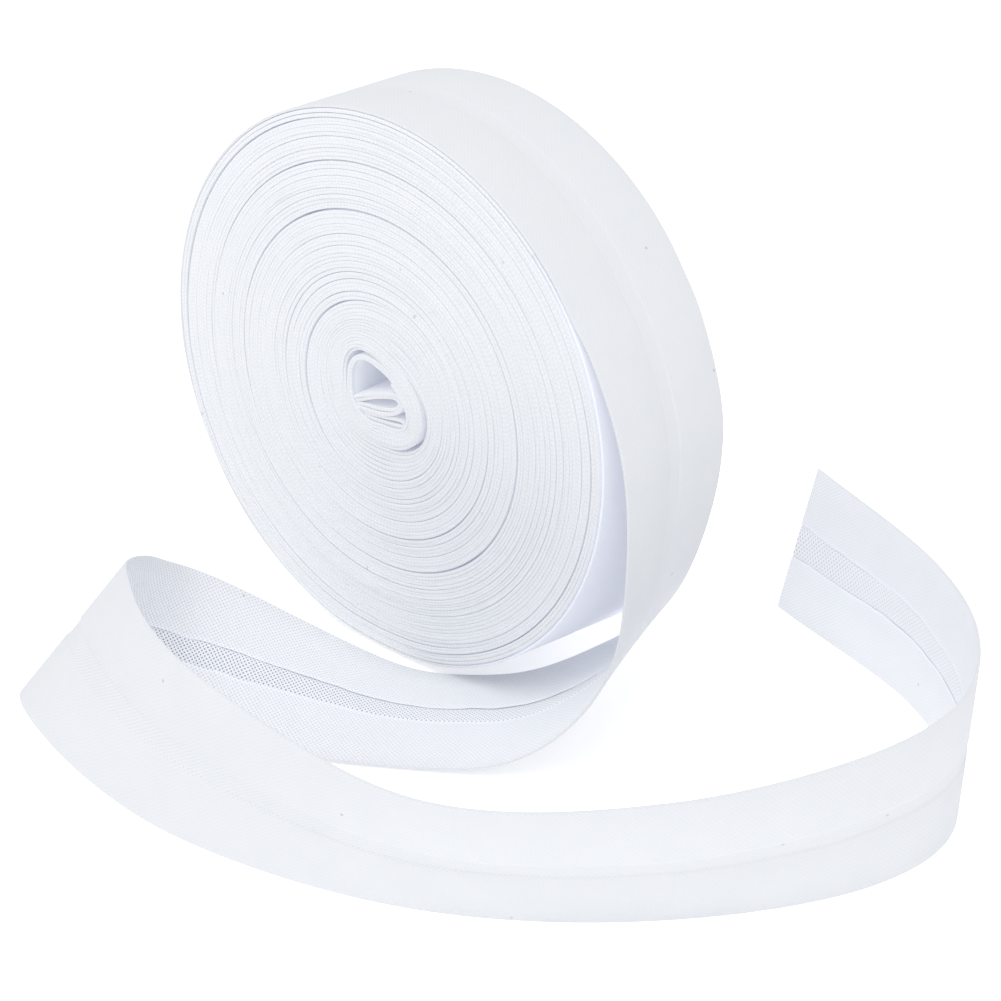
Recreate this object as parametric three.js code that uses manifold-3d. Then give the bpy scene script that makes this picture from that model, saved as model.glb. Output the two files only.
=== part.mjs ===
// A roll of single-fold bias tape with its outer end pulled off and laid in front.
// Millimetres, +Z up. The roll's axis runs along Y, its showing face looks to -Y,
// and the origin is the middle of the small flat spot that the roll stands on.

import * as THREE from "three";
import { mergeVertices } from "three/addons/utils/BufferGeometryUtils.js";
import Module from "manifold-3d";

const wasm = await Module();
wasm.setup();

// Driving sizes

const TAPE_WIDTH = 25.0;
const TAPE_THICK = 1.0;
const ROLL_RADIUS = 44.8;
const FLAT_SINK = 0.3;
const LAYER_GAP = 0.35;
const LEAVE_ANGLE = 45.0;

// The outermost turn is one tape and one gap above the turn under it.
const TURN_STEP = TAPE_THICK + LAYER_GAP;
// The roll narrows by that step over this stretch, in degrees past the leaving point.
const STEP_START = 190.0;
const STEP_LENGTH = 150.0;
const OUTLINE_STEP = 2.5;

// The two folded flaps on the inner side, and the single layer left open between them.
const NEAR_FLAP = 8.7;
const FAR_FLAP = 11.0;
const FLAP_DEPTH = 0.4;
const FOLD_ROUND = 0.35;

const AXIS_HEIGHT = ROLL_RADIUS - FLAT_SINK;
const TAPE_MIDDLE = ROLL_RADIUS - TAPE_THICK / 2;

// Main rings on the roll's two faces: looser turns that leave a shallow groove.
const RING_DEPTH = 0.8;
const RING_SIDES = 72;
const RINGS = [
  { radius: 15.6, width: 0.8 },
  { radius: 23.3, width: 0.5 },
  { radius: 28.7, width: 0.9 },
  { radius: 36.7, width: 0.6 },
];

// Slack crescents between turns, open through the roll: the middle line, from the
// roll's centre with x right and z up on the showing face, and the widest opening.
const CRESCENTS = [
  {
    width: 0.9,
    line: [[9.8, 3.2], [10.6, -1.2], [9.4, -4.6], [7.6, -6.6], [4.6, -7.9], [0.4, -8.0]],
  },
  {
    width: 0.7,
    line: [[-6.3, 0.8], [-6.6, 3.6], [-5.6, 6.0], [-3.9, 7.2], [-2.0, 7.5], [0.6, 7.0]],
  },
];
const CRESCENT_STEPS = 14;
const CRESCENT_TIP = 0.12;

// The gap under the outermost turn at the upper left, as an arc round the roll.
const SLACK_RADIUS = 43.0;
const SLACK_WIDTH = 0.6;
const SLACK_FROM = 75.0;
const SLACK_TO = 205.0;
const SLACK_POINTS = 8;

// Hollows of the core, where the tape's first folds lie in an S.
const CORE_HOLLOWS = [
  [[-5.1, 2.0], [-4.7, 4.1], [-3.2, 5.6], [-1.3, 5.9], [0.9, 5.0], [3.0, 3.8], [4.0, 3.0],
    [1.8, 1.9], [-0.4, 0.8], [-3.0, -0.6], [-4.6, 0.1]],
  [[-1.9, -1.3], [0.8, -0.5], [3.4, 0.5], [4.2, 0.2], [3.9, -0.6], [2.2, -1.3], [0.0, -1.8]],
  [[2.6, -2.5], [4.4, -2.0], [5.7, -0.9], [5.9, -2.4], [4.6, -2.9]],
];
const HOLLOW_POINTS = 28;

// The loose tape, one row per place along it: the near edge's position, and the way
// across the tape to its far edge, which is scaled to the tape's width.
const TAPE_ROWS = [
  { x: 41.0, y: -12.5, z: 64.0, acrossX: 0.0, acrossY: 25.0, acrossZ: -1.0 },
  { x: 48.0, y: -13.5, z: 50.5, acrossX: -1.0, acrossY: 25.0, acrossZ: -3.0 },
  { x: 51.0, y: -15.5, z: 35.5, acrossX: -4.0, acrossY: 24.0, acrossZ: -4.0 },
  { x: 50.5, y: -18.0, z: 20.0, acrossX: -8.0, acrossY: 23.0, acrossZ: -3.0 },
  { x: 44.0, y: -22.0, z: 7.5, acrossX: -12.0, acrossY: 22.0, acrossZ: -0.5 },
  { x: 37.0, y: -27.0, z: 2.2, acrossX: -13.0, acrossY: 21.5, acrossZ: 0.2 },
  { x: 28.5, y: -32.5, z: 0.7, acrossX: -13.0, acrossY: 21.5, acrossZ: 0.2 },
  { x: 23.5, y: -35.8, z: 0.6, acrossX: -13.0, acrossY: 21.5, acrossZ: 0.5 },
  { x: 18.5, y: -39.0, z: 0.6, acrossX: -13.0, acrossY: 21.5, acrossZ: 2.2 },
  { x: 4.5, y: -46.5, z: 0.7, acrossX: -10.5, acrossY: 20.5, acrossZ: 9.0 },
  { x: -10.0, y: -52.5, z: 0.7, acrossX: -5.0, acrossY: 17.0, acrossZ: 18.0 },
  { x: -16.5, y: -58.0, z: 4.0, acrossX: 1.5, acrossY: 15.5, acrossZ: 19.5 },
  { x: -18.5, y: -63.0, z: 8.5, acrossX: 5.5, acrossY: 15.5, acrossZ: 19.0 },
  { x: -16.5, y: -69.5, z: 13.0, acrossX: 7.5, acrossY: 15.5, acrossZ: 18.0 },
  { x: -10.5, y: -73.5, z: 14.5, acrossX: 7.0, acrossY: 15.0, acrossZ: 19.0 },
  { x: 5.5, y: -75.5, z: 11.5, acrossX: 5.0, acrossY: 9.0, acrossZ: 23.0 },
  { x: 21.0, y: -73.0, z: 8.0, acrossX: 4.5, acrossY: 4.0, acrossZ: 24.5 },
  { x: 49.5, y: -58.5, z: 2.6, acrossX: 6.5, acrossY: -5.0, acrossZ: 23.5 },
  { x: 73.5, y: -37.5, z: 0.5, acrossX: 5.5, acrossY: -4.0, acrossZ: 24.0 },
  { x: 91.5, y: -12.0, z: 0.4, acrossX: 2.0, acrossY: -1.5, acrossZ: 25.0 },
  { x: 94.0, y: 4.0, z: 0.5, acrossX: 0.5, acrossY: -1.0, acrossZ: 25.0 },
  { x: 86.5, y: 17.5, z: 1.0, acrossX: 1.0, acrossY: 0.0, acrossZ: 25.0 },
  { x: 74.0, y: 27.0, z: 2.0, acrossX: 1.5, acrossY: 0.5, acrossZ: 25.0 },
  { x: 43.5, y: 35.5, z: 3.5, acrossX: 2.5, acrossY: 5.0, acrossZ: 24.5 },
];
// Degrees between the rows that still lie on the roll, before the table starts.
const ROLL_ROW_STEP = 7.0;
const ROLL_ROWS = 3;
const STEPS_PER_ROW = 6;

const clothWhite = new THREE.MeshStandardMaterial({ color: 0xeef1f6, roughness: 0.9, metalness: 0.0 });

// The roll

function fromRoll(angle, radius) {
  const turn = THREE.MathUtils.degToRad(angle);
  return new THREE.Vector2(radius * Math.cos(turn), radius * Math.sin(turn));
}

function rollOutline() {
  const points = [];
  for (let past = 0; past <= 360; past += OUTLINE_STEP) {
    const shrink = THREE.MathUtils.smoothstep(past, STEP_START, STEP_START + STEP_LENGTH);
    const point = fromRoll(LEAVE_ANGLE + past, ROLL_RADIUS - TURN_STEP * shrink);
    point.y = Math.max(point.y, -AXIS_HEIGHT);
    points.push(point);
  }
  return points;
}

// A slit along a line, widest in the middle and nearly closed at both ends.
function slit(line, width) {
  const upper = [];
  const lower = [];
  for (let step = 0; step <= CRESCENT_STEPS; step += 1) {
    const part = step / CRESCENT_STEPS;
    const middle = line.getPoint(part);
    const along = line.getTangent(part);
    const half = (CRESCENT_TIP + (width - CRESCENT_TIP) * Math.sin(Math.PI * part)) / 2;
    upper.push(new THREE.Vector2(middle.x - along.y * half, middle.y + along.x * half));
    lower.push(new THREE.Vector2(middle.x + along.y * half, middle.y - along.x * half));
  }
  return new THREE.Path(upper.concat(lower.reverse()));
}

function splineThrough(pairs) {
  return new THREE.SplineCurve(pairs.map(([x, y]) => new THREE.Vector2(x, y)));
}

function closedHollow(pairs) {
  const corners = pairs.map(([x, y]) => new THREE.Vector3(x, y, 0));
  const loop = new THREE.CatmullRomCurve3(corners, true);
  const points = loop.getPoints(HOLLOW_POINTS).slice(0, -1);
  return new THREE.Path(points.map((point) => new THREE.Vector2(point.x, point.y)));
}

function outerSlack() {
  const pairs = [];
  for (let index = 0; index <= SLACK_POINTS; index += 1) {
    const angle = THREE.MathUtils.lerp(SLACK_FROM, SLACK_TO, index / SLACK_POINTS);
    const point = fromRoll(angle, SLACK_RADIUS);
    pairs.push([point.x, point.y]);
  }
  return slit(splineThrough(pairs), SLACK_WIDTH);
}

function solidOf(geometry) {
  const bare = geometry.index ? geometry.toNonIndexed() : geometry.clone();
  bare.deleteAttribute("normal");
  bare.deleteAttribute("uv");
  const merged = mergeVertices(bare);
  const mesh = new wasm.Mesh({
    numProp: 3,
    vertProperties: new Float32Array(merged.attributes.position.array),
    triVerts: new Uint32Array(merged.index.array),
  });
  return new wasm.Manifold(mesh);
}

function geometryOf(solid) {
  const mesh = solid.getMesh();
  const geometry = new THREE.BufferGeometry();
  geometry.setAttribute("position", new THREE.BufferAttribute(new Float32Array(mesh.vertProperties), 3));
  geometry.setIndex(new THREE.BufferAttribute(new Uint32Array(mesh.triVerts), 1));
  geometry.computeVertexNormals();
  return geometry;
}

// A ring-shaped cutter round the Y axis, with a square section.
function ringCutter(radius, width, from, to) {
  const corners = [
    new THREE.Vector2(radius - width / 2, from),
    new THREE.Vector2(radius + width / 2, from),
    new THREE.Vector2(radius + width / 2, to),
    new THREE.Vector2(radius - width / 2, to),
  ];
  return solidOf(new THREE.LatheGeometry(corners.concat([corners[0]]), RING_SIDES));
}

function woundRoll() {
  const shape = new THREE.Shape(rollOutline());
  for (const crescent of CRESCENTS) {
    shape.holes.push(slit(splineThrough(crescent.line), crescent.width));
  }
  shape.holes.push(outerSlack());
  for (const hollow of CORE_HOLLOWS) {
    shape.holes.push(closedHollow(hollow));
  }
  const disc = new THREE.ExtrudeGeometry(shape, { depth: TAPE_WIDTH, bevelEnabled: false });
  disc.translate(0, 0, -TAPE_WIDTH / 2);
  disc.rotateX(Math.PI / 2);
  let solid = solidOf(disc);
  const face = TAPE_WIDTH / 2;
  for (const ring of RINGS) {
    const front = ringCutter(ring.radius, ring.width, -face - RING_DEPTH, -face + RING_DEPTH);
    const back = ringCutter(ring.radius, ring.width, face - RING_DEPTH, face + RING_DEPTH);
    solid = solid.subtract(front).subtract(back);
  }
  return geometryOf(solid);
}

// The loose tape

// The tape's section: across from the near edge, and height towards the outer side.
function tapeSection() {
  const half = TAPE_THICK / 2;
  const inner = -half + FLAP_DEPTH;
  const far = TAPE_WIDTH - FAR_FLAP;
  return [
    [0, -half + FOLD_ROUND], [FOLD_ROUND, -half], [NEAR_FLAP, -half], [NEAR_FLAP, inner],
    [far, inner], [far, -half], [TAPE_WIDTH - FOLD_ROUND, -half],
    [TAPE_WIDTH, -half + FOLD_ROUND], [TAPE_WIDTH, half - FOLD_ROUND],
    [TAPE_WIDTH - FOLD_ROUND, half], [FOLD_ROUND, half], [0, half - FOLD_ROUND],
  ].map(([across, height]) => new THREE.Vector2(across, height));
}

// Both edges as curves: first the rows that follow the roll, then the table's rows.
function tapeEdges() {
  const near = [];
  const far = [];
  const startGap = THREE.MathUtils.radToDeg(LAYER_GAP / TAPE_MIDDLE);
  for (let row = 0; row < ROLL_ROWS; row += 1) {
    const point = fromRoll(LEAVE_ANGLE - startGap - row * ROLL_ROW_STEP, TAPE_MIDDLE);
    near.push(new THREE.Vector3(point.x, -TAPE_WIDTH / 2, point.y + AXIS_HEIGHT));
    far.push(new THREE.Vector3(point.x, TAPE_WIDTH / 2, point.y + AXIS_HEIGHT));
  }
  for (const row of TAPE_ROWS) {
    const across = new THREE.Vector3(row.acrossX, row.acrossY, row.acrossZ).setLength(TAPE_WIDTH);
    const foot = new THREE.Vector3(row.x, row.y, row.z);
    near.push(foot);
    far.push(foot.clone().add(across));
  }
  return { near: new THREE.CatmullRomCurve3(near), far: new THREE.CatmullRomCurve3(far), rows: near.length };
}

function looseTape() {
  const section = tapeSection();
  const corners = section.length;
  const { near, far, rows } = tapeEdges();
  const stations = (rows - 1) * STEPS_PER_ROW;
  const positions = [];
  for (let station = 0; station <= stations; station += 1) {
    const part = station / stations;
    const foot = near.getPoint(part);
    const across = far.getPoint(part).sub(foot).normalize();
    const along = near.getTangent(part).add(far.getTangent(part)).normalize();
    const outer = along.cross(across).normalize();
    for (const corner of section) {
      const point = foot.clone().addScaledVector(across, corner.x).addScaledVector(outer, corner.y);
      positions.push(point.x, point.y, point.z);
    }
  }
  const index = [];
  for (let station = 0; station < stations; station += 1) {
    for (let corner = 0; corner < corners; corner += 1) {
      const next = (corner + 1) % corners;
      const here = station * corners;
      const there = here + corners;
      index.push(here + corner, here + next, there + next);
      index.push(here + corner, there + next, there + corner);
    }
  }
  const last = stations * corners;
  for (const [a, b, c] of THREE.ShapeUtils.triangulateShape(section, [])) {
    index.push(c, b, a);
    index.push(last + a, last + b, last + c);
  }
  const geometry = new THREE.BufferGeometry();
  geometry.setAttribute("position", new THREE.Float32BufferAttribute(positions, 3));
  geometry.setIndex(index);
  geometry.computeVertexNormals();
  return geometry;
}

const roll = new THREE.Mesh(woundRoll(), clothWhite);
roll.name = "wound_roll";
roll.position.z = AXIS_HEIGHT;

const tape = new THREE.Mesh(looseTape(), clothWhite);
tape.name = "loose_tape";

const biasTape = new THREE.Group();
biasTape.add(roll, tape);

export default biasTape;
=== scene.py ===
"""The looks of a roll of white single-fold bias tape with its outer end pulled off.

Lengths are in metres. The roll's axis runs along Y and its showing face looks to -Y.
"""

import math

import bpy
import numpy as np
from bpy.props import FloatProperty, FloatVectorProperty, IntProperty, PointerProperty, StringProperty
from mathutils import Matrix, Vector


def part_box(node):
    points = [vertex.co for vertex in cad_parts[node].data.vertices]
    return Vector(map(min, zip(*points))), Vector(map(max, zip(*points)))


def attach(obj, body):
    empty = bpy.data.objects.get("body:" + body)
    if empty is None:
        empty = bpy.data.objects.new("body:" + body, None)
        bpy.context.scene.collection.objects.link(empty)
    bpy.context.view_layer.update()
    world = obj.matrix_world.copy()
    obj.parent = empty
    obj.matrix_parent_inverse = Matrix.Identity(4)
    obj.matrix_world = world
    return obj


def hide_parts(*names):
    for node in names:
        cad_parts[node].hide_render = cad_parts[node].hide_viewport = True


bl_info = {
    "name": "Roll of bias tape",
    "version": (1, 0, 0),
    "blender": (4, 5, 0),
    "location": "3D View > Sidebar > Tape",
    "description": "Builds a roll of folded bias tape with a loose end",
    "category": "Object",
}

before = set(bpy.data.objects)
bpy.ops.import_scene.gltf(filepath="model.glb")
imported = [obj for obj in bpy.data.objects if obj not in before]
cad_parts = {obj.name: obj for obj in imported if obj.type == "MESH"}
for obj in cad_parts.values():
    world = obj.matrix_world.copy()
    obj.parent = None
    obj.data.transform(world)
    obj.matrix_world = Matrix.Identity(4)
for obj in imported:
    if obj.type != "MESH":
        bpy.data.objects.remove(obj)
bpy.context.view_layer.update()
ROLL_LOW, ROLL_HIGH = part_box("wound_roll")

MM = 0.001
ROLL_RADIUS = -ROLL_LOW.x
TAPE_WIDTH = ROLL_HIGH.y - ROLL_LOW.y
AXIS_HEIGHT = ROLL_HIGH.z - ROLL_RADIUS

# Where the outer turn comes off the roll, in degrees up from the roll's right side.
LEAVE_ANGLE = 45.0
# How far under its outer skin the tape is laid out, in thicknesses of the cloth.
LINE_DEPTH = 1.15

# The loose tape, one row per place along it: the near edge's position in metres, and
# the way across the tape to its far edge, which is scaled to the tape's width.
TAPE_ROWS = (
    {"near": (0.0410, -0.0125, 0.0640), "across": (0.0, 25.0, -1.0)},
    {"near": (0.0480, -0.0135, 0.0505), "across": (-1.0, 25.0, -3.0)},
    {"near": (0.0510, -0.0155, 0.0355), "across": (-4.0, 24.0, -4.0)},
    {"near": (0.0505, -0.0180, 0.0200), "across": (-8.0, 23.0, -3.0)},
    {"near": (0.0440, -0.0220, 0.0075), "across": (-12.0, 22.0, -0.5)},
    {"near": (0.0370, -0.0270, 0.0022), "across": (-13.0, 21.5, 0.2)},
    {"near": (0.0285, -0.0325, 0.0007), "across": (-13.0, 21.5, 0.2)},
    {"near": (0.0235, -0.0358, 0.0006), "across": (-13.0, 21.5, 0.5)},
    {"near": (0.0185, -0.0390, 0.0006), "across": (-13.0, 21.5, 2.2)},
    {"near": (0.0045, -0.0465, 0.0007), "across": (-10.5, 20.5, 9.0)},
    {"near": (-0.0100, -0.0525, 0.0007), "across": (-5.0, 17.0, 18.0)},
    {"near": (-0.0165, -0.0580, 0.0040), "across": (1.5, 15.5, 19.5)},
    {"near": (-0.0185, -0.0630, 0.0085), "across": (5.5, 15.5, 19.0)},
    {"near": (-0.0165, -0.0695, 0.0130), "across": (7.5, 15.5, 18.0)},
    {"near": (-0.0105, -0.0735, 0.0145), "across": (7.0, 15.0, 19.0)},
    {"near": (0.0055, -0.0755, 0.0115), "across": (5.0, 9.0, 23.0)},
    {"near": (0.0210, -0.0730, 0.0080), "across": (4.5, 4.0, 24.5)},
    {"near": (0.0495, -0.0585, 0.0026), "across": (6.5, -5.0, 23.5)},
    {"near": (0.0735, -0.0375, 0.0005), "across": (5.5, -4.0, 24.0)},
    {"near": (0.0915, -0.0120, 0.0004), "across": (2.0, -1.5, 25.0)},
    {"near": (0.0940, 0.0040, 0.0005), "across": (0.5, -1.0, 25.0)},
    {"near": (0.0865, 0.0175, 0.0010), "across": (1.0, 0.0, 25.0)},
    {"near": (0.0740, 0.0270, 0.0020), "across": (1.5, 0.5, 25.0)},
    {"near": (0.0435, 0.0355, 0.0035), "across": (2.5, 5.0, 24.5)},
)
# Where the raw edges of the two flaps lie across the tape, in millimetres from its near
# edge, at distances along the loose tape from the place where it leaves the roll, and how
# open the weave of the single layer between them looks there, which sets how dark the
# painted shade in its openings is and how strong its relief.
FLAP_ROWS = (
    {"along": -300, "near": 10.6, "far": 14.6, "open": 0.25},
    {"along": 0, "near": 10.6, "far": 14.4, "open": 0.25},
    {"along": 70, "near": 10.5, "far": 13.4, "open": 0.25},
    {"along": 92, "near": 11.8, "far": 15.6, "open": 0.5},
    {"along": 120, "near": 11.1, "far": 15.2, "open": 0.85},
    {"along": 145, "near": 10.9, "far": 14.6, "open": 1.0},
    {"along": 225, "near": 10.7, "far": 14.2, "open": 0.6},
    {"along": 270, "near": 10.0, "far": 13.2, "open": 0.3},
    {"along": 310, "near": 10.8, "far": 14.0, "open": 0.3},
    {"along": 330, "near": 9.5, "far": 13.6, "open": 0.12},
    {"along": 355, "near": 10.6, "far": 15.2, "open": 0.18},
    {"along": 366, "near": 10.0, "far": 15.1, "open": 0.34},
    {"along": 378, "near": 9.4, "far": 15.0, "open": 0.42},
)

# The loose tape starts with this many rows on the roll itself, and this many degrees apart.
ROLL_ROWS = 3
ROLL_ROW_STEP = 7.0

# The tape's edges are drawn with so many points a row, smoothed in fine steps over a short
# reach, and then cut into the stations of the strip.
POINTS_PER_ROW = 60
EDGE_STEP = 0.5 * MM
SMOOTHING = 3.0 * MM
STATION_STEP = 1.0 * MM

# How far the raw edges wander across the tape and how far the flaps stand off it, in
# millimetres: the distance from one turning point to the next, then the least and the most.
RAW_EDGE_WANDER = ((1.0, -0.08, 0.08), (3.0, -0.2, 0.2))
FLAP_LIFTS = {"near": (6.0, 0.0, 0.05), "far": (6.0, 0.02, 0.12)}

# How the folded cloth lies, in metres: the air between two layers, how far the step at a
# raw edge reaches, and how deep the single layer sinks in between the flaps at most.
LAYER_GAP = 0.02 * MM
STEP_REACH = 0.6 * MM
SINGLE_LAYER_DIP = 0.22 * MM
# Over how many stations to each side the raw edges are evened out, and the steps that they
# make in the layer under them.
RAW_EDGE_REACH, BASE_REACH = 5, 4
# The share of that depth at distances along the loose tape, in millimetres.
DIP_ROWS = ({"along": 0, "share": 0.55}, {"along": 70, "share": 1.0})

# Slack places in the winding: the radius where turns part, how far, and over which
# angles, in degrees round from the roll's right side.
SLACK_RINGS = (
    {"radius": 43.7, "gap": 0.12, "middle": 30.0, "spread": 150.0},
    {"radius": 43.1, "gap": 0.42, "middle": 165.0, "spread": 100.0},
    {"radius": 42.2, "gap": 0.20, "middle": -30.0, "spread": 110.0},
    {"radius": 41.4, "gap": 0.22, "middle": 262.0, "spread": 55.0},
    {"radius": 40.0, "gap": 0.18, "middle": 242.0, "spread": 60.0},
    {"radius": 36.7, "gap": 0.26, "middle": 100.0, "spread": 150.0},
    {"radius": 34.8, "gap": 0.16, "middle": 235.0, "spread": 60.0},
    {"radius": 31.2, "gap": 0.22, "middle": 240.0, "spread": 70.0},
    {"radius": 29.3, "gap": 0.30, "middle": 100.0, "spread": 150.0},
    {"radius": 28.3, "gap": 0.28, "middle": -30.0, "spread": 130.0},
    {"radius": 23.3, "gap": 0.24, "middle": -60.0, "spread": 130.0},
    {"radius": 20.0, "gap": 0.10, "middle": 180.0, "spread": 90.0},
    {"radius": 15.7, "gap": 0.56, "middle": 165.0, "spread": 118.0},
    {"radius": 12.6, "gap": 0.12, "middle": -40.0, "spread": 80.0},
)
# Over how many turns further in a slack place fades, in the round winding and in the core.
SLACK_FADE_TURNS = 7.0
CORE_FADE_TURNS = 2.5
# How short the step is by which one turn of the spiral parts from the next, in turns.
PARTING_TURNS = 0.02

# The spacing of the round turns varies by this share of its mean, within these limits.
SPACING = {"varies": 0.2, "least": 0.72, "most": 1.5}
# The room a wound turn takes between its neighbours, in millimetres, and the innermost
# turn's, and how much of the room the cloth fills.
TURN_ROOM = {"least": 0.3, "most": 0.72, "innermost": 0.5}
ROOM_FILLED = 0.99

# How far the turns' edges stand in or out, in millimetres: each turn on its own, slowly
# over a few turns, and in waves of some degrees along the tape.
SIDE_SHIFTS = {"own": 0.03, "slow": 0.12, "wavy": 0.045}
SLOW_TURNS = 5
WAVE_DEGREES = 20.0

# The roll's weight flattens its outer turns a little where it stands. The depth is in
# millimetres, and it fades over some turns.
FLAT_SPOT = {"most": 0.5, "middle": 270.0, "spread": 16.0, "turns": 6.0}
# Under the leaving tape the last turns stand off the roll, only along their far edge.
FAR_EDGE_BULGE = {"most": 3.6, "middle": -34.0, "spread": 62.0, "turns": 1.2}

# How strongly the outermost turn has a painted glow where the leaving tape shades it,
# standing in for light passed through that tape, and the share of that at distances from
# the turn's own beginning, in millimetres.
PASSED_LIGHT = 0.24
PASSED_LIGHT_ROWS = (
    {"along": 0, "share": 0.3},
    {"along": 12, "share": 1.0},
    {"along": 70, "share": 1.0},
    {"along": 100, "share": 0.0},
)
# How strongly the flaps' thin raw edges and the cloth right beside them have a painted
# glow, a painted highlight along the raw edges.
EDGE_LIGHT = 0.08
# How strongly the outermost turn has a painted glow on the side that lies against the roll,
# and the share of that at distances along the loose tape, in millimetres.
INNER_LIGHT = 0.16
INNER_LIGHT_ROWS = ({"along": -12, "share": 1.0}, {"along": 0, "share": 0.0})

# The innermost turns aren't round. Each row gives, at an angle, the radius in millimetres
# of the innermost turn and of the 3rd, 8th and 15th ones outside it.
CORE_TURNS = (
    {"angle": 0, "first": 6.25, "third": 7.8, "eighth": 10.3, "round": 14.0},
    {"angle": 20, "first": 5.5, "third": 7.1, "eighth": 9.6, "round": 14.0},
    {"angle": 40, "first": 4.9, "third": 6.4, "eighth": 8.7, "round": 13.9},
    {"angle": 60, "first": 4.85, "third": 6.2, "eighth": 8.4, "round": 13.8},
    {"angle": 80, "first": 5.1, "third": 6.4, "eighth": 8.8, "round": 13.7},
    {"angle": 100, "first": 6.0, "third": 7.0, "eighth": 9.6, "round": 13.6},
    {"angle": 120, "first": 6.55, "third": 7.75, "eighth": 10.3, "round": 13.6},
    {"angle": 140, "first": 6.3, "third": 7.5, "eighth": 10.1, "round": 13.6},
    {"angle": 160, "first": 5.5, "third": 6.6, "eighth": 9.2, "round": 13.5},
    {"angle": 180, "first": 5.1, "third": 6.1, "eighth": 8.6, "round": 13.5},
    {"angle": 200, "first": 4.9, "third": 6.1, "eighth": 8.4, "round": 13.4},
    {"angle": 220, "first": 4.8, "third": 6.1, "eighth": 8.2, "round": 13.3},
    {"angle": 240, "first": 4.5, "third": 5.9, "eighth": 8.0, "round": 13.3},
    {"angle": 260, "first": 4.2, "third": 5.7, "eighth": 7.7, "round": 13.3},
    {"angle": 280, "first": 4.2, "third": 5.8, "eighth": 7.8, "round": 13.4},
    {"angle": 300, "first": 4.7, "third": 6.5, "eighth": 9.0, "round": 13.6},
    {"angle": 320, "first": 6.0, "third": 7.6, "eighth": 10.0, "round": 13.8},
    {"angle": 340, "first": 6.9, "third": 8.4, "eighth": 10.6, "round": 13.9},
)
# How many turns outside the innermost one each of them lies. Past the last, turns are round.
CORE_TURN_PLACES = {"first": 0, "third": 3, "eighth": 8, "round": 15}
# Over how many turns further out the core's shape fades.
CORE_SHAPE_FADE = 6.0

# Where the innermost turns part from those round them, and which turns next to the gap,
# counted inwards from it, are sunk into the roll there and how deep.
CORE_GAPS = (
    {"turn": 3, "gap": 0.75, "middle": 130.0, "spread": 72.0, "sunk": (-1, 0), "depth": 0.3},
    {"turn": 8, "gap": 1.00, "middle": -18.0, "spread": 80.0, "sunk": (-1, 0), "depth": 0.4},
)

# The tape's inner end, folded into the core, in millimetres from the roll's axis, x
# right and z up on the showing face. Each fold is a line of points.
CORE_FOLDS = (
    ((-5.1, -1.6), (-4.4, -1.0), (-3.3, -0.5), (-1.8, 0.1), (0.3, 0.85), (2.4, 1.5),
     (3.9, 1.8), (4.9, 1.55), (5.4, 0.9), (5.3, 0.0), (4.5, -0.95), (3.1, -1.65),
     (1.0, -2.2), (-1.2, -2.45), (-3.0, -2.55), (-4.6, -2.8)),
    ((-4.9, -2.0), (-4.1, -1.55), (-2.8, -1.0), (-1.6, -0.45), (0.0, 0.2), (1.6, 0.7),
     (3.3, 1.15), (4.25, 1.1), (4.8, 0.6), (4.55, -0.2), (3.7, -0.75), (2.0, -1.25),
     (0.2, -1.6), (-1.4, -1.75), (-2.8, -1.85), (-4.6, -2.3)),
    ((-4.6, -3.0), (-2.8, -3.1), (-0.8, -3.0), (1.4, -2.75), (3.4, -2.4), (4.9, -2.25),
     (5.9, -2.55), (5.4, -3.05), (3.8, -3.35), (1.6, -3.55), (-0.8, -3.7), (-2.8, -3.65)),
    ((-5.0, -3.2), (-4.2, -3.9), (-2.8, -4.2), (-0.8, -4.3), (1.4, -4.2), (3.4, -4.0),
     (4.9, -3.7), (5.7, -3.4)),
)
# How far each fold lies in from the showing face, how thick the folds are and how fine
# their steps are, in millimetres.
CORE_FOLD_SET_IN = (0.1, 0.2, 0.3, 0.5)
CORE_FOLD_THICKNESS = 0.62
CORE_FOLD_STEP = 0.3
# How many points are drawn for each one given, and over how many the line is evened out.
POINTS_PER_FOLD_ROW, CORE_FOLD_REACH = 12, 2

# The turns at which the bands of the wound strip begin, counted inwards.
BAND_STARTS = (1, 24, 47)

# The soft lights: where each stands and how wide it is in metres, and its power in watts.
LAMPS = (
    {"name": "right", "place": (1.15, -0.7, 0.3), "size": 0.8, "power": 1.1},
    {"name": "left", "place": (-0.6, -0.8, 0.75), "size": 0.8, "power": 0.4},
    {"name": "top", "place": (0.1, -0.35, 1.4), "size": 1.0, "power": 7.2},
)
# The photograph's camera: degrees round from the front and up, the distance from what it
# looks at in metres, and its lens and sensor in millimetres.
CAMERA = {"round": 41.43, "up": 28.26, "distance": 0.3101, "lens": 71.93, "sensor": 36.0}
# The floor is wide enough that its far edge shows in no view, and lies just under the roll.
FLOOR_SIZE = 24.0
FLOOR_HEIGHT = -0.0001


class TapeSizes(bpy.types.PropertyGroup):
    """Sizes of the folded tape and of its winding."""

    cloth: FloatProperty(
        name="Cloth thickness",
        description="One layer of the cloth",
        default=0.20 * MM,
        unit="LENGTH",
    )
    near_flap: FloatProperty(
        name="Near flap",
        description="Width folded in at the near edge",
        default=10.6 * MM,
        unit="LENGTH",
    )
    far_flap: FloatProperty(
        name="Far flap",
        description="Width folded in at the far edge",
        default=10.5 * MM,
        unit="LENGTH",
    )
    thread: FloatProperty(
        name="Thread spacing",
        description="From one thread to the next",
        default=0.5 * MM,
        unit="LENGTH",
    )
    turns: IntProperty(name="Turns", description="Turns wound on the roll", default=70)
    sides: IntProperty(name="Steps a turn", description="Mesh steps round one turn", default=144)
    seed: IntProperty(name="Seed", description="Chooses the unevenness of the winding", default=7)


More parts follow.
